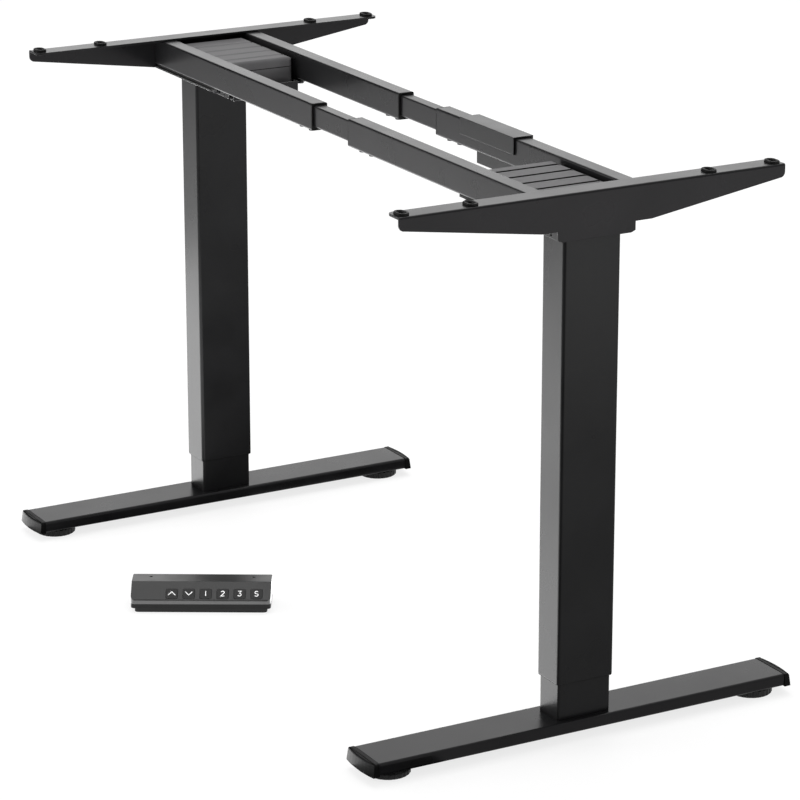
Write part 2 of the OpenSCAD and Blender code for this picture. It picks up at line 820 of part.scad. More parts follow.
// Gearbox bolts, crossbar clamp bolts and rail lock screws
module head_screws() {
    color(bright) {
        at_gear_bolts() translate([0, 0, tray_floor + gear_ear_t]) mirror([0, 0, 1])
            cap_screw(m5_r, m5_head_r, m5_head_h, gear_ear_t + tray_t + plate_t);
        for (s = [-1, 1]) translate([0, s * bar_y, 0]) {
            at_clamp_bolts() translate([0, 0, lug_bottom])
                cap_screw(m6_r, m6_head_r, m6_head_h,
                          tray_t + damper_t + bar_wall + insert_bar_h);
            at_lock_screws() translate([0, 0, bar_bottom])
                cap_screw(m6_r, m6_head_r, m6_head_h, bar_wall + glide_h);
        }
    }
}

// Depth range of the control box behind the rear crossbar
function box_front_y() = bar_y + bar_w / 2 + hook_gap + hook_back_t;
function box_split_y() = box_front_y() + box_d * box_split_share;
function box_low_z() = bar_bottom - box_drop;

// Block of the box's body between two depths, rounded along its length
module box_block(y0, y1) {
    translate([mouth_x + box_start, y0, box_low_z()]) cube([box_length, y1 - y0, box_h]);
}

// Front half of the control box with the hook that hangs over the rear crossbar
module control_box_hook() {
    x0 = mouth_x + box_start;
    y_in = bar_y - bar_w / 2 - hook_gap;
    y_back = bar_y + bar_w / 2 + hook_gap;
    top = bar_top + hook_gap;
    mid = box_front_y() + (box_split_y() - box_front_y()) / 2;
    color(plastic) difference() {
        union() {
            box_block(box_front_y(), box_split_y());
            translate([x0, y_back, box_low_z()])
                cube([box_length, hook_back_t, top + hook_t - box_low_z()]);
            translate([x0, y_in - hook_t, top])
                cube([box_length, y_back + hook_back_t - y_in + hook_t, hook_t]);
            translate([x0, y_in - hook_t, top + hook_t - hook_drop])
                cube([box_length, hook_t, hook_drop]);
        }
        for (i = [0, 1]) translate([x0 + box_length - jack_depth, mid - jack_d / 2,
                                    box_low_z() + box_corner + i * jack_step])
            cube([jack_depth + cut, jack_d, jack_w]);
        for (i = [0, 1]) translate([x0 - cut, mid - jack_d / 2,
                                    box_low_z() + box_corner + i * jack_step])
            cube([jack_depth + cut, jack_d, jack_w]);
    }
}

// Back half of the control box, with rounded long edges
module control_box_cover() {
    y0 = box_split_y();
    y1 = box_front_y() + box_d;
    r = box_corner;
    color(plastic) translate([mouth_x + box_start, 0, 0]) rotate([90, 0, 90])
        linear_extrude(box_length) {
            translate([y0, box_low_z()]) square([y1 - y0 - r, box_h]);
            translate([y0, box_low_z() + r]) square([y1 - y0, box_h - 2 * r]);
            for (z = [r, box_h - r]) translate([y1 - r, box_low_z() + z]) circle(r = r);
        }
}

// Frame of the handset, which lies on the floor turned to one side
module at_handset() {
    translate(handset_place) rotate([0, 0, handset_turn]) children();
}

// Direction from p to a, of length 1
function towards(p, a) = (a - p) / norm(a - p);
// Half of the angle at p between its neighbours a and b
function half_angle(a, p, b) = acos(towards(p, a) * towards(p, b)) / 2;
// Where the two edges at p meet its fillet
function fillet_ends(a, p, b, r) =
    [for (q = [a, b]) p + towards(p, q) * r / tan(half_angle(a, p, b))];
// Middle of the fillet at p
function fillet_middle(a, p, b, r) =
    p + towards([0, 0], towards(p, a) + towards(p, b)) * r / sin(half_angle(a, p, b));

// Convex outline with every corner rounded
module rounded_outline(points, r) {
    n = len(points);
    before = [for (i = [0 : n - 1]) points[(i + n - 1) % n]];
    after = [for (i = [0 : n - 1]) points[(i + 1) % n]];
    polygon([for (i = [0 : n - 1]) each fillet_ends(before[i], points[i], after[i], r)]);
    for (i = [0 : n - 1])
        translate(fillet_middle(before[i], points[i], after[i], r)) circle(r = r);
}

// Side outline of the handset's shell, drawn in by a wall, front edge at the left
module handset_side(inset) {
    front = -handset_d / 2 + inset;
    back = handset_d / 2 - inset;
    knee = handset_front_h - inset / cos(panel_slope) + inset * tan(panel_slope);
    crest_y = -handset_d / 2 + panel_run + inset * tan(panel_slope / 2);
    low = -handset_edge;
    rounded_outline([
        [front, low], [back, low], [back, handset_h - inset],
        [crest_y, handset_h - inset], [front, knee]], handset_edge - inset / 2);
}

// Body of the handset's shell above its base, drawn in by a wall
module handset_form(inset) {
    w = handset_w - 2 * inset;
    low = inset > 0 ? base_h - cut : base_h;
    intersection() {
        translate([-w / 2, 0, 0]) rotate([90, 0, 90]) linear_extrude(w) handset_side(inset);
        translate([0, 0, low]) linear_extrude(handset_h)
            rounded_rect(w, handset_d - 2 * inset, handset_corner - inset / 2);
    }
}

// Frame of the sloped panel's lower edge, Z square to the panel
module at_panel() {
    translate([0, -handset_d / 2, handset_front_h]) rotate([panel_slope, 0, 0]) children();
}

// Frame of key number i on the panel
module at_key(i) {
    x = handset_w / 2 - key_from_right - (key_count - 1 - i) * key_pitch;
    at_panel() translate([x, key_from_edge, 0]) children();
}

// Places of the two posts that carry the key board
module at_board_posts() {
    for (x = [board_post_inset - board_left, board_right - board_post_inset])
        at_panel() translate([x, key_from_edge, 0]) children();
}

module handset_shell() {
    hole = key_size + 2 * key_gap;
    color(plastic) at_handset() difference() {
        union() {
            difference() {
                handset_form(0);
                handset_form(shell_wall);
            }
            at_board_posts() bore_z(board_post_r, -board_depth, -shell_wall / 2);
        }
        for (i = [0 : key_count - 1]) at_key(i) translate([0, 0, -shell_wall - cut])
            linear_extrude(shell_wall + 2 * cut)
                rounded_rect(hole, hole, key_corner + key_gap);
        for (x = [-1, 1]) translate([x * fix_hole_x, fix_hole_y, 0])
            bore_z(fix_hole_r, handset_h - shell_wall - cut, handset_h + cut);
    }
}

// Base of the handset: an inset sole, a locating step and a cable jack at the back
module handset_base() {
    sole_d = handset_d - base_inset - base_front_inset;
    step_w = handset_w - 2 * (shell_wall + slip);
    step_d = handset_d - 2 * (shell_wall + slip);
    color(rubber) at_handset() difference() {
        union() {
            translate([0, (base_front_inset - base_inset) / 2, 0]) linear_extrude(base_h)
                rounded_rect(handset_w - 2 * base_inset, sole_d, handset_corner);
            translate([0, 0, base_h])
                linear_extrude(shell_wall) rounded_rect(step_w, step_d,
                                                        handset_corner - shell_wall / 2);
        }
        for (x = [-1, 1]) translate([x * fix_hole_x, fix_hole_y, 0])
            bore_z(m6_head_r, -cut, base_h + shell_wall + cut);
    }
}

// Circuit board under the keys, on the shell's two posts
module key_board() {
    color("#2f5b3c") at_handset() at_panel()
        translate([-board_left, key_from_edge - board_w / 2, -board_depth - board_t])
            cube([board_left + board_right, board_w, board_t]);
}

// Push key: a cap that shows, a skirt under the panel and a stem
module key(i) {
    under = -shell_wall - slip;
    color(plastic) at_handset() at_key(i) {
        translate([0, 0, under]) linear_extrude(key_proud - under)
            rounded_rect(key_size, key_size, key_corner);
        translate([0, 0, under - key_skirt_t]) linear_extrude(key_skirt_t)
            rounded_rect(key_size + 2 * key_skirt, key_size + 2 * key_skirt, key_corner);
        bore_z(key_stem_r, under - key_skirt_t - key_stem_l, under);
    }
}

leg_side(-1) foot_tube();  // foot_left
leg_side(1) foot_tube();  // foot_right
leg_side(-1) foot_cap(-1);  // foot_cap_front_left
leg_side(1) foot_cap(-1);  // foot_cap_front_right
leg_side(-1) foot_cap(1);  // foot_cap_back_left
leg_side(1) foot_cap(1);  // foot_cap_back_right
leg_side(-1) leveller(-1);  // leveller_front_left
leg_side(1) leveller(-1);  // leveller_front_right
leg_side(-1) leveller(1);  // leveller_back_left
leg_side(1) leveller(1);  // leveller_back_right
leg_side(-1) foot_bolts();  // foot_bolts_left
leg_side(1) foot_bolts();  // foot_bolts_right
leg_side(-1) column_inner();  // column_inner_left
leg_side(1) column_inner();  // column_inner_right
leg_side(-1) spindle_nut();  // spindle_nut_left
leg_side(1) spindle_nut();  // spindle_nut_right
leg_side(-1) column_outer();  // column_outer_left
leg_side(1) column_outer();  // column_outer_right
leg_side(-1) guide_bush();  // guide_bush_left
leg_side(1) guide_bush();  // guide_bush_right
leg_side(-1) spindle();  // spindle_left
leg_side(1) spindle();  // spindle_right
leg_side(-1) head_tray();  // head_tray_left
leg_side(1) head_tray();  // head_tray_right
leg_side(-1) damper_strips();  // damper_strips_left
leg_side(1) damper_strips();  // damper_strips_right
leg_side(-1) gearbox();  // gearbox_left
leg_side(1) gearbox();  // gearbox_right
leg_side(-1) motor();  // motor_left
leg_side(1) motor();  // motor_right
leg_side(-1) motor_cover_base();  // motor_cover_base_left
leg_side(1) motor_cover_base();  // motor_cover_base_right
leg_side(-1) motor_cover_top();  // motor_cover_top_left
leg_side(1) motor_cover_top();  // motor_cover_top_right
leg_side(-1) crossbar(-1);  // crossbar_front_left
leg_side(1) crossbar(-1);  // crossbar_front_right
leg_side(-1) crossbar(1);  // crossbar_rear_left
leg_side(1) crossbar(1);  // crossbar_rear_right
leg_side(-1) rail_glides();  // rail_glides_left
leg_side(1) rail_glides();  // rail_glides_right
leg_side(-1) side_bracket();  // side_bracket_left
leg_side(1) side_bracket();  // side_bracket_right
leg_side(-1) desktop_pads();  // desktop_pads_left
leg_side(1) desktop_pads();  // desktop_pads_right
leg_side(-1) head_screws();  // head_screws_left
leg_side(1) head_screws();  // head_screws_right
rail(-1);  // rail_front
rail(1);  // rail_rear
control_box_hook();
control_box_cover();
handset_base();
handset_shell();
key_board();
key(0);  // key_up
key(1);  // key_down
key(2);  // key_one
key(3);  // key_two
key(4);  // key_three
key(5);  // key_store
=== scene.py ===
import math

import bmesh
import bpy
from mathutils import Matrix, Vector


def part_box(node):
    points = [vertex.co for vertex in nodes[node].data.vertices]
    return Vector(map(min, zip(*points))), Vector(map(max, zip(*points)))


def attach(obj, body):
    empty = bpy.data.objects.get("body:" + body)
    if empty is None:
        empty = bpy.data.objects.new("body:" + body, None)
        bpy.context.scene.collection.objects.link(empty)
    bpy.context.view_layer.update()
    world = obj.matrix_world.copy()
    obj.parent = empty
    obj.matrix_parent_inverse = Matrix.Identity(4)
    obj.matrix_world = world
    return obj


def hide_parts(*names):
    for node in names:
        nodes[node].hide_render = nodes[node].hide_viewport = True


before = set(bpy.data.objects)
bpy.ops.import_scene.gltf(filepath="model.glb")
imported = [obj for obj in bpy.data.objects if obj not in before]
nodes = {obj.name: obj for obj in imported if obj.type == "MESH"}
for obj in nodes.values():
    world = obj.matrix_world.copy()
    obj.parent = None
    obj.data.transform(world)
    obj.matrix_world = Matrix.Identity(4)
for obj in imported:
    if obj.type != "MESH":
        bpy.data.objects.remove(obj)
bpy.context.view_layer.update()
sides = ("left", "right")
print("frame loaded,", len(nodes), "nodes")


# materials

shading = {
    "noiseDetail": 3.0,
    "grainShare": 0.25,        # of the fine grain in the colour, beside the patches
    "bevelSamples": 6,
    "edgeFlat": 0.995,         # cosine between the true and the rounded normal on a flat
    "edgeSharp": 0.82,         # the same at an edge
    "hollowSamples": 8,
    "hollowDark": 0.62,        # openness at which a hollow gets the full painted shade
    "hollowOpen": 0.96,        # openness from which it keeps its colour, free of painted shade
    # colour of the painted shade in crevices, along the covers' parting line and at groove roots
    "paintedShadeColour": (0.0015, 0.0015, 0.0015),
    "specular": 0.5,
    "plainTint": (1.0, 1.0, 1.0),
}


def freshMaterial(name):
    material = bpy.data.materials.new(name)
    material.use_nodes = True
    tree = material.node_tree
    tree.nodes.clear()
    output = tree.nodes.new("ShaderNodeOutputMaterial")
    shader = tree.nodes.new("ShaderNodeBsdfPrincipled")
    tree.links.new(shader.outputs["BSDF"], output.inputs["Surface"])
    place = tree.nodes.new("ShaderNodeTexCoord")
    return material, tree, shader, place.outputs["Object"]


def noiseOf(tree, place, size, stretch=None):
    source = place
    if stretch:
        mapping = tree.nodes.new("ShaderNodeMapping")
        mapping.inputs["Scale"].default_value = stretch
        tree.links.new(place, mapping.inputs["Vector"])
        source = mapping.outputs["Vector"]
    noise = tree.nodes.new("ShaderNodeTexNoise")
    noise.inputs["Scale"].default_value = 1.0 / size
    noise.inputs["Detail"].default_value = shading["noiseDetail"]
    tree.links.new(source, noise.inputs["Vector"])
    return noise.outputs["Fac"]


def rangeOf(tree, value, low, high, fromLow=0.3, fromHigh=0.7):
    spread = tree.nodes.new("ShaderNodeMapRange")
    spread.inputs["From Min"].default_value = fromLow
    spread.inputs["From Max"].default_value = fromHigh
    spread.inputs["To Min"].default_value = low
    spread.inputs["To Max"].default_value = high
    tree.links.new(value, spread.inputs["Value"])
    return spread.outputs["Result"]


def blendOf(tree, factor, dark, light):
    mix = tree.nodes.new("ShaderNodeMix")
    mix.data_type = "RGBA"
    mix.inputs["A"].default_value = (*dark, 1)
    mix.inputs["B"].default_value = (*light, 1)
    tree.links.new(factor, mix.inputs["Factor"])
    return mix.outputs["Result"]


def addOf(tree, first, second, share):
    add = tree.nodes.new("ShaderNodeMath")
    add.operation = "MULTIPLY_ADD"
    add.inputs[1].default_value = share
    tree.links.new(second, add.inputs[0])
    tree.links.new(first, add.inputs[2])
    return add.outputs["Value"]


def softEdge(tree, radius):
    bevel = tree.nodes.new("ShaderNodeBevel")
    bevel.samples = shading["bevelSamples"]
    bevel.inputs["Radius"].default_value = radius
    return bevel.outputs["Normal"]


# how strongly the surface turns there: 0 on a flat, 1 at an edge
def edgeMask(tree, roundNormal):
    geometry = tree.nodes.new("ShaderNodeNewGeometry")
    dot = tree.nodes.new("ShaderNodeVectorMath")
    dot.operation = "DOT_PRODUCT"
    tree.links.new(roundNormal, dot.inputs[0])
    tree.links.new(geometry.outputs["Normal"], dot.inputs[1])
    return rangeOf(tree, dot.outputs["Value"], 1.0, 0.0, shading["edgeSharp"], shading["edgeFlat"])


# painted shade in crevices and corners: the colour falls where something stands closer than reach
def shadeCrevices(tree, colour, reach):
    hollow = tree.nodes.new("ShaderNodeAmbientOcclusion")
    hollow.samples = shading["hollowSamples"]
    hollow.inputs["Distance"].default_value = reach
    shade = tree.nodes.new("ShaderNodeMix")
    shade.data_type = "RGBA"
    shade.inputs["A"].default_value = (*shading["paintedShadeColour"], 1)
    openness = rangeOf(tree, hollow.outputs["AO"], 0.0, 1.0, shading["hollowDark"],
                       shading["hollowOpen"])
    tree.links.new(openness, shade.inputs["Factor"])
    tree.links.new(colour, shade.inputs["B"])
    return shade.outputs["Result"]


# a line of painted shade at one height: where the two mouldings meet, or, with levelFrom, the low
# end of a groove, drawn only where the face looks up by at least that much
def paintSeamShade(tree, place, colour, height, width, levelFrom=None):
    split = tree.nodes.new("ShaderNodeSeparateXYZ")
    tree.links.new(place, split.inputs["Vector"])
    line = tree.nodes.new("ShaderNodeMath")
    line.operation = "COMPARE"
    line.inputs[1].default_value = height
    line.inputs[2].default_value = width / 2
    tree.links.new(split.outputs["Z"], line.inputs[0])
    drawn = line.outputs["Value"]
    if levelFrom is not None:
        geometry = tree.nodes.new("ShaderNodeNewGeometry")
        facing = tree.nodes.new("ShaderNodeSeparateXYZ")
        tree.links.new(geometry.outputs["True Normal"], facing.inputs["Vector"])
        level = tree.nodes.new("ShaderNodeMath")
        level.operation = "GREATER_THAN"
        level.inputs[1].default_value = levelFrom
        tree.links.new(facing.outputs["Z"], level.inputs[0])
        both = tree.nodes.new("ShaderNodeMath")
        both.operation = "MULTIPLY"
        tree.links.new(drawn, both.inputs[0])
        tree.links.new(level.outputs["Value"], both.inputs[1])
        drawn = both.outputs["Value"]
    seam = tree.nodes.new("ShaderNodeMix")
    seam.data_type = "RGBA"
    seam.inputs["B"].default_value = (*shading["paintedShadeColour"], 1)
    tree.links.new(drawn, seam.inputs["Factor"])
    tree.links.new(colour, seam.inputs["A"])
    return seam.outputs["Result"]


def makeFinish(s):
    material, tree, shader, place = freshMaterial(s["name"])
    patches = noiseOf(tree, place, s["patchSize"])
    grain = noiseOf(tree, place, s["grainSize"], s.get("stretch"))
    mottle = addOf(tree, rangeOf(tree, patches, 0.0, 1.0), grain, shading["grainShare"])
    roundNormal = softEdge(tree, s["edgeRound"])
    colour = blendOf(tree, mottle, s["dark"], s["light"])
    # painted shade: the colour is darkened in crevices where ambient occlusion finds something close
    if "paintedShadeReach" in s:
        colour = shadeCrevices(tree, colour, s["paintedShadeReach"])
    # painted highlight: the colour is lightened at edges, standing in for light caught on the
    # rounded edges
    if "edgeHighlight" in s:
        mask = edgeMask(tree, roundNormal)
        highlightAmount = tree.nodes.new("ShaderNodeMath")
        highlightAmount.operation = "MULTIPLY"
        highlightAmount.inputs[1].default_value = s["edgeHighlightShare"]
        tree.links.new(mask, highlightAmount.inputs[0])
        edgeHighlight = tree.nodes.new("ShaderNodeMix")
        edgeHighlight.data_type = "RGBA"
        edgeHighlight.inputs["B"].default_value = (*s["edgeHighlight"], 1)
        tree.links.new(highlightAmount.outputs["Value"], edgeHighlight.inputs["Factor"])
        tree.links.new(colour, edgeHighlight.inputs["A"])
        colour = edgeHighlight.outputs["Result"]
    # painted shade lines: the covers' parting line and the groove roots drawn dark
    if "seamHeight" in s:
        colour = paintSeamShade(tree, place, colour, s["seamHeight"], s["seamShadeWidth"])
        colour = paintSeamShade(tree, place, colour, s["grooveHeight"], s["grooveShadeWidth"], s["grooveLevel"])
    tree.links.new(colour, shader.inputs["Base Color"])
    tree.links.new(rangeOf(tree, patches, *s["roughness"]), shader.inputs["Roughness"])
    bump = tree.nodes.new("ShaderNodeBump")
    bump.inputs["Strength"].default_value = s["grainStrength"]
    bump.inputs["Distance"].default_value = s["grainDepth"]
    tree.links.new(grain, bump.inputs["Height"])
    tree.links.new(roundNormal, bump.inputs["Normal"])
    tree.links.new(bump.outputs["Normal"], shader.inputs["Normal"])
    shader.inputs["Metallic"].default_value = s.get("metallic", 0.0)
    shader.inputs["Specular IOR Level"].default_value = s.get("specular", shading["specular"])
    shader.inputs["Specular Tint"].default_value = (*s.get("tint", shading["plainTint"]), 1)
    return material


powderCoat = {
    "name": "blackPowderCoat",
    "dark": (0.006, 0.006, 0.0063), "light": (0.010, 0.010, 0.0105),
    # painted highlight colour and its share at the edges
    "edgeHighlight": (0.030, 0.030, 0.031), "edgeHighlightShare": 0.35,
    "roughness": (0.26, 0.32), "specular": 0.12, "tint": (1.0, 0.972, 1.0),
    "patchSize": 0.09, "grainSize": 0.0011, "grainDepth": 0.00008, "grainStrength": 0.35,
    "edgeRound": 0.0009,
}
trayCoat = {
    **powderCoat, "name": "trayPowderCoat",
    # painted highlight: a bright line along the tray's edges
    "edgeHighlight": (0.42, 0.42, 0.42), "edgeHighlightShare": 0.9, "edgeRound": 0.0007,
}
columnCoat = {**powderCoat, "name": "columnPowderCoat", "tint": shading["plainTint"]}
capPlastic = {
    "name": "capPlastic",
    "dark": (0.0030, 0.0030, 0.0030), "light": (0.0055, 0.0055, 0.0055),
    "edgeHighlight": (0.014, 0.014, 0.014), "edgeHighlightShare": 0.3,
    "roughness": (0.40, 0.48), "specular": 0.05,
    "patchSize": 0.03, "grainSize": 0.0006, "grainDepth": 0.00006, "grainStrength": 0.4,
    "edgeRound": 0.0012,
}
levellerPlastic = {
    "name": "levellerPlastic",
    "dark": (0.009, 0.009, 0.009), "light": (0.015, 0.015, 0.015),
    "edgeHighlight": (0.075, 0.075, 0.075), "edgeHighlightShare": 0.5,
    "roughness": (0.34, 0.44), "specular": 0.25,
    "patchSize": 0.02, "grainSize": 0.0006, "grainDepth": 0.00006, "grainStrength": 0.4,
    "edgeRound": 0.0007,
}
cover = {
    "seamHeight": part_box("motor_cover_base_left")[1][2],     # where the halves meet
    "topHeight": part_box("motor_cover_top_left")[1][2],
    "grooveDepth": 0.0015,
}
coverPlastic = {
    "name": "coverPlastic",
    "dark": (0.074, 0.073, 0.075), "light": (0.098, 0.096, 0.099),
    "edgeHighlight": (0.120, 0.120, 0.120), "edgeHighlightShare": 0.3,
    "roughness": (0.56, 0.62), "specular": 0.2,
    "patchSize": 0.05, "grainSize": 0.0007, "grainDepth": 0.00007, "grainStrength": 0.45,
    # painted shade: crevices darkened within this reach
    "edgeRound": 0.0006, "paintedShadeReach": 0.004,
    # painted shade lines along the parting line and at the groove roots
    "seamHeight": cover["seamHeight"], "seamShadeWidth": 0.0011,
    "grooveHeight": cover["topHeight"] - cover["grooveDepth"], "grooveShadeWidth": 0.0006,
    "grooveLevel": 0.96,
}
boxPlastic = {
    "name": "controlBoxPlastic",
    "dark": (0.006, 0.006, 0.0063), "light": (0.010, 0.010, 0.0105),
    "edgeHighlight": (0.025, 0.025, 0.025), "edgeHighlightShare": 0.3,
    "roughness": (0.28, 0.34), "specular": 0.12,
    "patchSize": 0.04, "grainSize": 0.0006, "grainDepth": 0.00006, "grainStrength": 0.45,
    "edgeRound": 0.0010,
}
padRubber = {
    "name": "padRubber",
    "dark": (0.003, 0.003, 0.003), "light": (0.006, 0.006, 0.006),
    "roughness": (0.50, 0.62), "specular": 0.12,
    "patchSize": 0.012, "grainSize": 0.0008, "grainDepth": 0.00008, "grainStrength": 0.4,
    "edgeRound": 0.0008,
}
screwBlack = {
    "name": "screwBlackZinc",
    "dark": (0.030, 0.030, 0.032), "light": (0.050, 0.050, 0.053),
    "edgeHighlight": (0.14, 0.14, 0.15), "edgeHighlightShare": 0.5,
    "roughness": (0.30, 0.42), "metallic": 1.0,
    "patchSize": 0.006, "grainSize": 0.0008, "grainDepth": 0.00004, "grainStrength": 0.3,
    "edgeRound": 0.0003,
}
turnedSteel = {
    "name": "turnedSteel",
    "dark": (0.36, 0.36, 0.37), "light": (0.52, 0.52, 0.54),
    "roughness": (0.24, 0.36), "metallic": 1.0,
    "patchSize": 0.02, "grainSize": 0.004, "grainDepth": 0.00005, "grainStrength": 0.5,
    "stretch": (0.15, 0.15, 6.0), "edgeRound": 0.0003,
}
motorCan = {
    "name": "motorCan",
    "dark": (0.30, 0.30, 0.31), "light": (0.44, 0.44, 0.46),
    "roughness": (0.30, 0.42), "metallic": 1.0,
    "patchSize": 0.03, "grainSize": 0.004, "grainDepth": 0.00004, "grainStrength": 0.4,
    "stretch": (6.0, 0.15, 0.15), "edgeRound": 0.0005,
}
housingPlastic = {
    "name": "gearHousingPlastic",
    "dark": (0.020, 0.020, 0.020), "light": (0.045, 0.045, 0.045),
    "roughness": (0.48, 0.62), "specular": 0.45,
    "patchSize": 0.008, "grainSize": 0.0012, "grainDepth": 0.00010, "grainStrength": 0.5,
    "stretch": (1.0, 1.0, 0.3), "edgeRound": 0.0008,
}
handsetPlastic = {
    "name": "handsetPlastic",
    "dark": (0.010, 0.010, 0.010), "light": (0.015, 0.015, 0.015),
    "edgeHighlight": (0.050, 0.050, 0.050), "edgeHighlightShare": 0.3,
    "roughness": (0.30, 0.38), "specular": 0.30,
    "patchSize": 0.03, "grainSize": 0.0004, "grainDepth": 0.00003, "grainStrength": 0.35,
    "edgeRound": 0.0010,
}
handsetSole = {
    "name": "handsetSolePlastic",
    "dark": (0.010, 0.010, 0.010), "light": (0.018, 0.018, 0.018),
    "roughness": (0.45, 0.55), "specular": 0.4,
    "patchSize": 0.02, "grainSize": 0.0005, "grainDepth": 0.00004, "grainStrength": 0.35,
    "edgeRound": 0.0008,
}
keyPlastic = {
    "name": "keyPlastic",
    "dark": (0.005, 0.005, 0.005), "light": (0.008, 0.008, 0.008),
    "edgeHighlight": (0.050, 0.050, 0.050), "edgeHighlightShare": 0.4,
    "roughness": (0.34, 0.42), "specular": 0.20,
    "patchSize": 0.01, "grainSize": 0.0003, "grainDepth": 0.00002, "grainStrength": 0.3,
    "edgeRound": 0.0005,
}
legendInk = {
    "name": "legendInk",
    "dark": (0.84, 0.84, 0.84), "light": (0.92, 0.92, 0.92),
    "roughness": (0.42, 0.55), "specular": 0.4,
    "patchSize": 0.002, "grainSize": 0.0002, "grainDepth": 0.00001, "grainStrength": 0.3,
    "edgeRound": 0.0001,
}
boardGreen = {
    "name": "boardSolderMask",
    "dark": (0.010, 0.060, 0.028), "light": (0.016, 0.095, 0.045),
    "roughness": (0.25, 0.40), "specular": 0.5,
    "patchSize": 0.004, "grainSize": 0.0006, "grainDepth": 0.00004, "grainStrength": 0.5,
    "stretch": (1.0, 0.2, 1.0), "edgeRound": 0.0002,
}
cardBlack = {
    "name": "studioCardBlack",
    "dark": (0.004, 0.004, 0.004), "light": (0.008, 0.008, 0.008),
    "roughness": (0.90, 0.95), "specular": 0.0,
    "patchSize": 0.5, "grainSize": 0.01, "grainDepth": 0.0001, "grainStrength": 0.1,
    "edgeRound": 0.0001,
}

finishOfNode = {
    "foot": powderCoat, "column": columnCoat, "head_tray": trayCoat, "crossbar": powderCoat,
    "side_bracket": powderCoat, "rail_front": powderCoat, "rail_rear": powderCoat,
    "foot_cap": capPlastic, "leveller": levellerPlastic, "spindle_nut": housingPlastic,
    "foot_bolts": screwBlack, "head_screws": screwBlack, "spindle": turnedSteel,
    "guide_bush": padRubber, "rail_glides": padRubber, "damper_strips": padRubber,
    "desktop_pads": padRubber, "gearbox": housingPlastic, "motor": motorCan,
    "motor_cover": coverPlastic, "control_box": boxPlastic, "handset_shell": handsetPlastic,
    "handset_base": handsetSole, "key": keyPlastic, "key_board": boardGreen,
}
made = {}


def finishFor(settings):
    if settings["name"] not in made:
        made[settings["name"]] = makeFinish(settings)
    return made[settings["name"]]


for name, node in nodes.items():
    stem = max((k for k in finishOfNode if name.startswith(k)), key=len)
    material = finishFor(finishOfNode[stem])
    node.data.materials.clear()
    node.data.materials.append(material)
print("finishes on", len(nodes), "nodes")


def pieceFrom(bm, name, finish, body):
    mesh = bpy.data.meshes.new(name)
    bm.to_mesh(mesh)
    bm.free()
    piece = bpy.data.objects.new(name, mesh)
    bpy.context.scene.collection.objects.link(piece)
    mesh.materials.append(finishFor(finish))
    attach(piece, body)
    return piece


# end caps with a softened upper rim

caps = {
    "weld": 0.00025,           # the thin bands at the rims close up within this
    "flat": 2.0,               # degrees under which neighbouring faces are one
    "sharp": 40.0,             # degrees from which an edge belongs to the rim
    "round": 0.0022,
    "steps": 5,
    "profile": 0.5,
}


def softenCap(nodeName, side):
    bm = bmesh.new()
    bm.from_mesh(nodes[nodeName].data)
    bmesh.ops.remove_doubles(bm, verts=bm.verts[:], dist=caps["weld"])
    bmesh.ops.dissolve_limit(bm, angle_limit=math.radians(caps["flat"]), verts=bm.verts[:],
                             edges=bm.edges[:])
    top = max(v.co.z for v in bm.verts) - caps["weld"]
    seam = min(abs(v.co.y) for v in bm.verts if v.co.z > top) + caps["weld"]
    rim = [e for e in bm.edges
           if all(v.co.z > top for v in e.verts) and any(abs(v.co.y) > seam for v in e.verts)
           and e.calc_face_angle(0) > math.radians(caps["sharp"])]
    bmesh.ops.bevel(bm, geom=rim, offset=caps["round"], offset_type="OFFSET", affect="EDGES",
                    segments=caps["steps"], profile=caps["profile"], material=-1,
                    clamp_overlap=False)
    bmesh.ops.recalc_face_normals(bm, faces=bm.faces[:])
    piece = pieceFrom(bm, nodeName.replace("foot_cap", "soft_cap"), capPlastic,
                      "base_" + side)
    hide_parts(nodeName)
    print(nodeName, "rim of", len(rim), "edges softened")


for side in sides:
    for end in ("front", "back"):
        softenCap("foot_cap_" + end + "_" + side, side)


# handset legends

handset = {
    "place": (-0.120, -0.214, 0.0),
    "turn": 60.0,              # degrees about Z
    "width": 0.190,
    "depth": 0.056,
    "frontHeight": 0.018,
    "slope": 35.0,             # degrees of the key panel
    "keyFromEdge": 0.0105,
    "keyFromRight": 0.0195,
    "keyPitch": 0.023,
    "keyProud": 0.0004,
}
legend = {
    "stroke": 0.00115,         # width of a legend's line
    "height": 0.0080,
    "lift": 0.00003,           # ink above the key's face
    "inkDepth": 0.00005,
    "shiftUp": 0.0005,
}


def arcPoints(cx, cy, rx, ry, start, end, count=14):
    step = (end - start) / count
    return [(cx + rx * math.cos(math.radians(start + i * step)),
             cy + ry * math.sin(math.radians(start + i * step))) for i in range(count + 1)]


# strokes in units of the legend's height, about its middle
legendStrokes = {
    "key_up": [[(-0.60, -0.36), (0.0, 0.32), (0.60, -0.36)]],
    "key_down": [[(-0.60, 0.36), (0.0, -0.32), (0.60, 0.36)]],
    "key_one": [[(0.0, -0.5), (0.0, 0.5)]],
    "key_two": [arcPoints(0.0, 0.22, 0.27, 0.28, 165, -25)
                + [(-0.29, -0.5), (0.31, -0.5)]],
    "key_three": [[(-0.26, 0.5), (0.26, 0.5), (-0.02, 0.09)]
                  + arcPoints(-0.02, -0.205, 0.29, 0.295, 90, -155)],
    "key_store": [arcPoints(0.0, 0.25, 0.27, 0.25, 25, 270)
                  + arcPoints(0.0, -0.25, 0.28, 0.25, 90, -155)[1:]],
}
bodyOfKey = {"key_up": "press_up", "key_down": "press_down", "key_one": "press_one",
             "key_two": "press_two", "key_three": "press_three", "key_store": "press_store"}


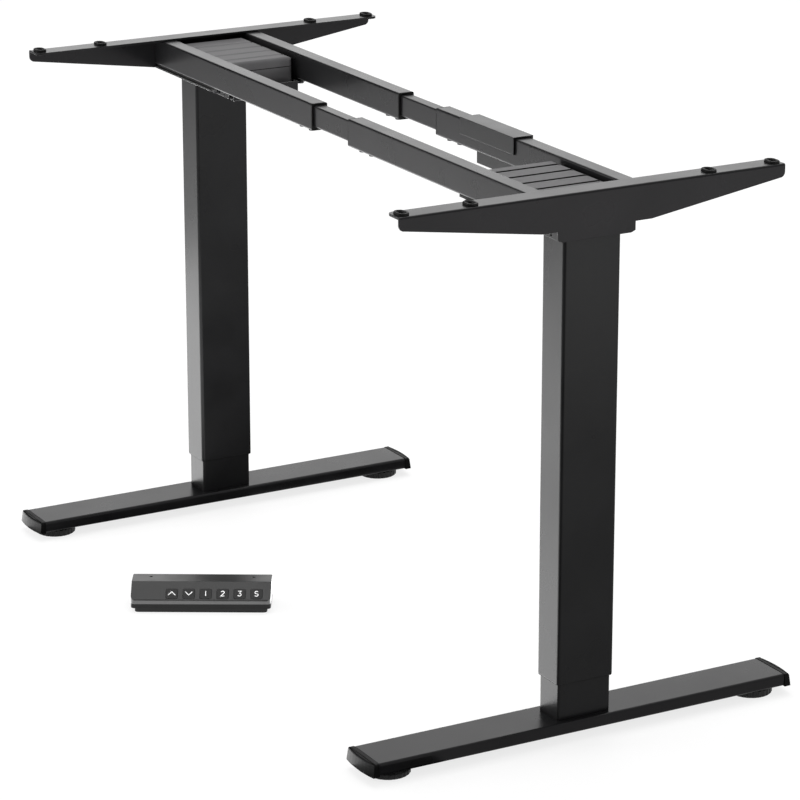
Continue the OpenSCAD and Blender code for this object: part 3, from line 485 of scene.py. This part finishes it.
def panelMatrix():
    return (Matrix.Translation(handset["place"])
            @ Matrix.Rotation(math.radians(handset["turn"]), 4, "Z")
            @ Matrix.Translation((0, -handset["depth"] / 2, handset["frontHeight"]))
            @ Matrix.Rotation(math.radians(handset["slope"]), 4, "X"))


# a flat ribbon of even width along a stroke, with mitred corners
def inkRibbon(bm, points, width):
    pts = [Vector((x, y, 0)) for x, y in points]
    left, right = [], []
    for i, p in enumerate(pts):
        before = (p - pts[i - 1]).normalized() if i > 0 else (pts[1] - p).normalized()
        after = (pts[i + 1] - p).normalized() if i < len(pts) - 1 else before
        along = (before + after).normalized()
        across = Vector((-along.y, along.x, 0))
        reach = width / 2 / max(0.4, across.dot(Vector((-before.y, before.x, 0))))
        left.append(bm.verts.new(p + across * reach))
        right.append(bm.verts.new(p - across * reach))
    for i in range(len(pts) - 1):
        bm.faces.new((right[i], right[i + 1], left[i + 1], left[i]))


def makeLegend(keyName, index):
    bm = bmesh.new()
    for stroke in legendStrokes[keyName]:
        inkRibbon(bm, [(x * legend["height"], y * legend["height"]) for x, y in stroke],
                  legend["stroke"])
    solid = bmesh.ops.extrude_face_region(bm, geom=bm.faces[:])
    top = [v for v in solid["geom"] if isinstance(v, bmesh.types.BMVert)]
    bmesh.ops.translate(bm, verts=top, vec=(0, 0, legend["inkDepth"]))
    bmesh.ops.recalc_face_normals(bm, faces=bm.faces[:])
    keysToRight = len(legendStrokes) - 1 - index
    x = handset["width"] / 2 - handset["keyFromRight"] - keysToRight * handset["keyPitch"]
    spot = Matrix.Translation((x, handset["keyFromEdge"] + legend["shiftUp"],
                               handset["keyProud"] + legend["lift"]))
    bmesh.ops.transform(bm, matrix=panelMatrix() @ spot, verts=bm.verts[:])
    return pieceFrom(bm, keyName.replace("key_", "legend_"), legendInk,
                     bodyOfKey[keyName])


for index, keyName in enumerate(legendStrokes):
    makeLegend(keyName, index)
print("legends drawn")


# contact pins in the control box's jacks

jacks = {
    "reach": 0.010,            # depth of a socket
    "pinLength": 0.0065,
    "pinSide": 0.0010,
    "pitch": 0.0030,
    "round": 0.0002,
    "steps": 2,
    "profile": 0.5,
    "bottomY": 0.08745,
    "heights": (0.6455, 0.6635),
    "ends": ((0.116, 1), (0.250, -1)),     # a socket's mouth along X, and the way in
}


def makeJackPins():
    bm = bmesh.new()
    pinSize = (jacks["pinLength"], jacks["pinSide"], jacks["pinSide"])
    for mouth, inward in jacks["ends"]:
        middle = mouth + inward * (jacks["reach"] - jacks["pinLength"] / 2)
        for height in jacks["heights"]:
            for across in (-0.5, 0.5):
                for up in (-1, 0, 1):
                    at = (middle, jacks["bottomY"] + across * jacks["pitch"],
                          height + up * jacks["pitch"])
                    post = bmesh.ops.create_cube(bm, size=1.0)["verts"]
                    bmesh.ops.scale(bm, vec=pinSize, verts=post)
                    bmesh.ops.translate(bm, vec=at, verts=post)
    bmesh.ops.bevel(bm, geom=bm.edges[:], offset=jacks["round"], offset_type="OFFSET",
                    affect="EDGES", segments=jacks["steps"], profile=jacks["profile"],
                    material=-1, clamp_overlap=True)
    return pieceFrom(bm, "jack_pins", turnedSteel, "upper_right")


makeJackPins()
print("jack pins set")


# studio

studio = {
    "floorSize": 30.0,
    "floorColour": 0.80,
    "glow": 0.78,              # the floor's own share of white, the rest keeps the shadow
    "lit": 0.26,
    "worldLevel": 0.55,
}
lamps = [
    {"name": "frontPanel", "at": (-3.0, -3.6, 1.6),
     "to": (0, 0, 0.2), "size": (3.0, 2.6), "power": 95},
    {"name": "topPanel", "at": (-0.6, 0.6, 3.8),
     "to": (0, 0, 0.4), "size": (3.0, 3.0), "power": 80},
    {"name": "backPanel", "at": (-3.8, 2.2, 1.8),
     "to": (0, 0, 0.7), "size": (3.2, 1.8), "power": 20},
    {"name": "leftFloorGlow", "at": (-1.11, -0.50, 0.012),
     "to": (-1.11, -0.50, 1), "size": (1.22, 1.1), "power": 20.5},
    {"name": "middleFloorGlow", "at": (-0.01, -0.685, 0.012),
     "to": (-0.01, -0.685, 1), "size": (0.98, 0.73), "power": 10.9},
    {"name": "nearFloorGlow", "at": (0.115, -0.135, 0.012),
     "to": (0.115, -0.135, 1), "size": (0.73, 0.37), "power": 4.1},
    {"name": "farFloorGlow", "at": (-2.2, -1.15, 0.012),
     "to": (-2.2, -1.15, 1), "size": (0.9, 0.9), "power": 3},
    {"name": "rightFloorGlow", "at": (2.7, 1.4, 0.012),
     "to": (2.7, 1.4, 1), "size": (1.6, 2.0), "power": 32},
]
# black cards that only reflections see, as a photographer sets them for crisp dark edges
cards = [
    {"name": "rightCard", "at": (1.15, -1.0, 0.006),
     "to": (1.15, -1.0, 1), "size": (1.3, 1.6)},
    {"name": "cornerCard", "at": (2.6, -1.35, 0.006),
     "to": (2.6, -1.35, 1), "size": (1.6, 1.9)},
    {"name": "middleCard", "at": (0.0, 0.385, 0.006),
     "to": (0.0, 0.385, 1), "size": (0.88, 0.73)},
    {"name": "footCard", "at": (-0.38, -0.15, 0.006),
     "to": (-0.38, -0.15, 1), "size": (0.16, 0.38)},
    {"name": "frontCard", "at": (0.15, -1.22, 0.006),
     "to": (0.15, -1.22, 1), "size": (0.70, 1.35)},
    {"name": "wallCard", "at": (-3.4, -0.95, 1.85),
     "to": (0.0, -0.95, 1.85), "size": (2.86, 3.5)},
]


def seenByCamera(tree):
    path = tree.nodes.new("ShaderNodeLightPath")
    first = tree.nodes.new("ShaderNodeMath")
    first.operation = "MAXIMUM"
    second = tree.nodes.new("ShaderNodeMath")
    second.operation = "MAXIMUM"
    tree.links.new(path.outputs["Is Camera Ray"], first.inputs[0])
    tree.links.new(path.outputs["Is Glossy Ray"], first.inputs[1])
    tree.links.new(first.outputs["Value"], second.inputs[0])
    tree.links.new(path.outputs["Is Transmission Ray"], second.inputs[1])
    return second.outputs["Value"]


def makeWorld():
    world = bpy.data.worlds.new("studioWorld")
    bpy.context.scene.world = world
    world.use_nodes = True
    tree = world.node_tree
    tree.nodes.clear()
    output = tree.nodes.new("ShaderNodeOutputWorld")
    white = tree.nodes.new("ShaderNodeBackground")
    white.inputs["Color"].default_value = (1, 1, 1, 1)
    white.inputs["Strength"].default_value = 1.0
    dim = tree.nodes.new("ShaderNodeBackground")
    dim.inputs["Color"].default_value = (1, 1, 1, 1)
    dim.inputs["Strength"].default_value = studio["worldLevel"]
    mix = tree.nodes.new("ShaderNodeMixShader")
    tree.links.new(seenByCamera(tree), mix.inputs["Fac"])
    tree.links.new(dim.outputs["Background"], mix.inputs[1])
    tree.links.new(white.outputs["Background"], mix.inputs[2])
    tree.links.new(mix.outputs["Shader"], output.inputs["Surface"])


def makeFloor():
    bm = bmesh.new()
    bmesh.ops.create_grid(bm, x_segments=1, y_segments=1, size=studio["floorSize"] / 2)
    mesh = bpy.data.meshes.new("studioFloor")
    bm.to_mesh(mesh)
    bm.free()
    floor = bpy.data.objects.new("studioFloor", mesh)
    bpy.context.scene.collection.objects.link(floor)
    material = bpy.data.materials.new("studioFloorWhite")
    material.use_nodes = True
    tree = material.node_tree
    tree.nodes.clear()
    output = tree.nodes.new("ShaderNodeOutputMaterial")
    plain = tree.nodes.new("ShaderNodeBsdfDiffuse")
    plain.inputs["Color"].default_value = (*[studio["floorColour"]] * 3, 1)
    glow = tree.nodes.new("ShaderNodeEmission")
    glow.inputs["Strength"].default_value = studio["glow"]
    lit = tree.nodes.new("ShaderNodeBsdfDiffuse")
    lit.inputs["Color"].default_value = (*[studio["lit"]] * 3, 1)
    both = tree.nodes.new("ShaderNodeAddShader")
    mix = tree.nodes.new("ShaderNodeMixShader")
    tree.links.new(glow.outputs["Emission"], both.inputs[0])
    tree.links.new(lit.outputs["BSDF"], both.inputs[1])
    tree.links.new(seenByCamera(tree), mix.inputs["Fac"])
    tree.links.new(plain.outputs["BSDF"], mix.inputs[1])
    tree.links.new(both.outputs["Shader"], mix.inputs[2])
    tree.links.new(mix.outputs["Shader"], output.inputs["Surface"])
    mesh.materials.append(material)


def makeLamp(s):
    light = bpy.data.lights.new(s["name"], "AREA")
    light.shape = "RECTANGLE"
    light.size, light.size_y = s["size"]
    light.energy = s["power"]
    lamp = bpy.data.objects.new(s["name"], light)
    bpy.context.scene.collection.objects.link(lamp)
    lamp.location = s["at"]
    lamp.visible_camera = False
    aim = Vector(s["to"]) - Vector(s["at"])
    lamp.rotation_euler = aim.to_track_quat("-Z", "Y").to_euler()


def makeCard(s):
    bm = bmesh.new()
    bmesh.ops.create_grid(bm, x_segments=1, y_segments=1, size=0.5)
    bmesh.ops.scale(bm, vec=(*s["size"], 1), verts=bm.verts[:])
    aim = (Vector(s["to"]) - Vector(s["at"])).to_track_quat("Z", "Y")
    bmesh.ops.transform(bm, matrix=Matrix.Translation(s["at"]) @ aim.to_matrix().to_4x4(),
                        verts=bm.verts[:])
    mesh = bpy.data.meshes.new(s["name"])
    bm.to_mesh(mesh)
    bm.free()
    card = bpy.data.objects.new(s["name"], mesh)
    bpy.context.scene.collection.objects.link(card)
    card.visible_camera = False
    card.visible_diffuse = False
    card.visible_shadow = False
    mesh.materials.append(finishFor(cardBlack))


makeWorld()
makeFloor()
for cardSettings in cards:
    makeCard(cardSettings)
for lampSettings in lamps:
    makeLamp(lampSettings)
print("studio lit")

camera = {
    "at": (3.9601, -2.1805, 1.7270),
    "yaw": 60.854,             # degrees from +Y towards -X
    "pitch": -17.590,
    "lens": 159.56,
    "sensor": 36.0,
    "farEnd": 100,
    "level": 90,               # degrees about X that turn the camera from straight down to level
}
lens = bpy.data.cameras.new("photoCamera")
lens.lens = camera["lens"]
lens.sensor_width = camera["sensor"]
lens.clip_end = camera["farEnd"]
view = bpy.data.objects.new("photoCamera", lens)
view.location = camera["at"]
view.rotation_euler = (math.radians(camera["level"] + camera["pitch"]), 0,
                       math.radians(camera["yaw"]))
bpy.context.scene.collection.objects.link(view)
bpy.context.scene.camera = view
bpy.context.scene.view_settings.view_transform = "Standard"
print("camera set")
